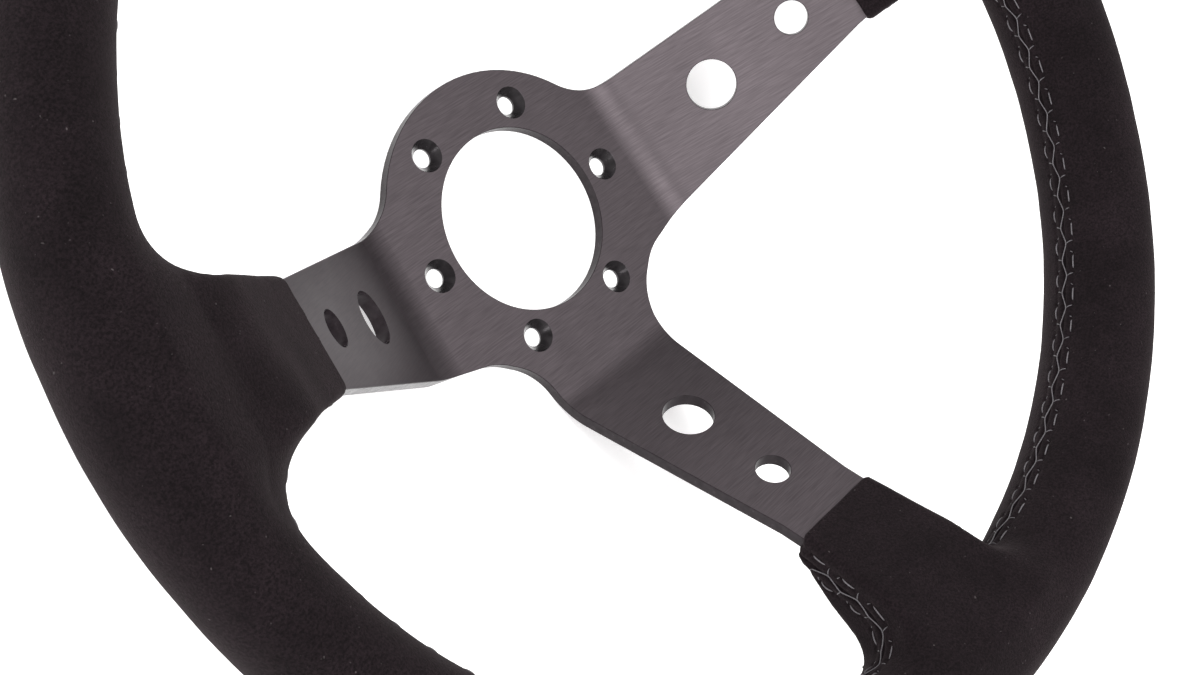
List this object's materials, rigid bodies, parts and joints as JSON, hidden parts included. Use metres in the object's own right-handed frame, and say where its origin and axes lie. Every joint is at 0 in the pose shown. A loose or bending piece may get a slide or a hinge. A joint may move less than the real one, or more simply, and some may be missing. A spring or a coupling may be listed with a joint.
{
  "type": "steering wheel",
  "caption": "Deep-dish suede steering wheel with three bent alloy spokes, a bare bolt-on hub with an open centre and a laced grip.",
  "frame": {"origin": "centre of the hub's rear face, where the wheel bolts to its hub or boss", "axes": "+Z towards the driver along the steering axis, +Y to the wheel's twelve o'clock, +X to its three o'clock"},
  "size_m": [0.3492, 0.3492, 0.0944],
  "materials": {
    "black_anodised": "brushed, black anodised",
    "steel": "plain, hidden inside the grip",
    "foam": "moulded skin, hidden under the suede",
    "suede": "short nap suede",
    "thread": "waxed thread"
  },
  "bodies": {
    "root": {"spoke_plate": "black_anodised", "rim_ring": "steel", "grip_foam": "foam", "ring_tab_right": "steel", "rivet_right_1": "steel", "rivet_right_2": "steel", "ring_tab_left": "steel", "rivet_left_1": "steel", "rivet_left_2": "steel", "ring_tab_bottom": "steel", "rivet_bottom_1": "steel", "rivet_bottom_2": "steel", "suede_cover_right_bottom": "suede", "suede_cover_top": "suede", "suede_cover_left": "suede", "lacing_right": "thread", "stitch_row_inner_right": "thread", "stitch_row_rear_right": "thread", "lacing_top": "thread", "stitch_row_inner_top": "thread", "stitch_row_rear_top": "thread", "lacing_left": "thread", "stitch_row_inner_left": "thread", "stitch_row_rear_left": "thread"}
  },
  "joints": []
}
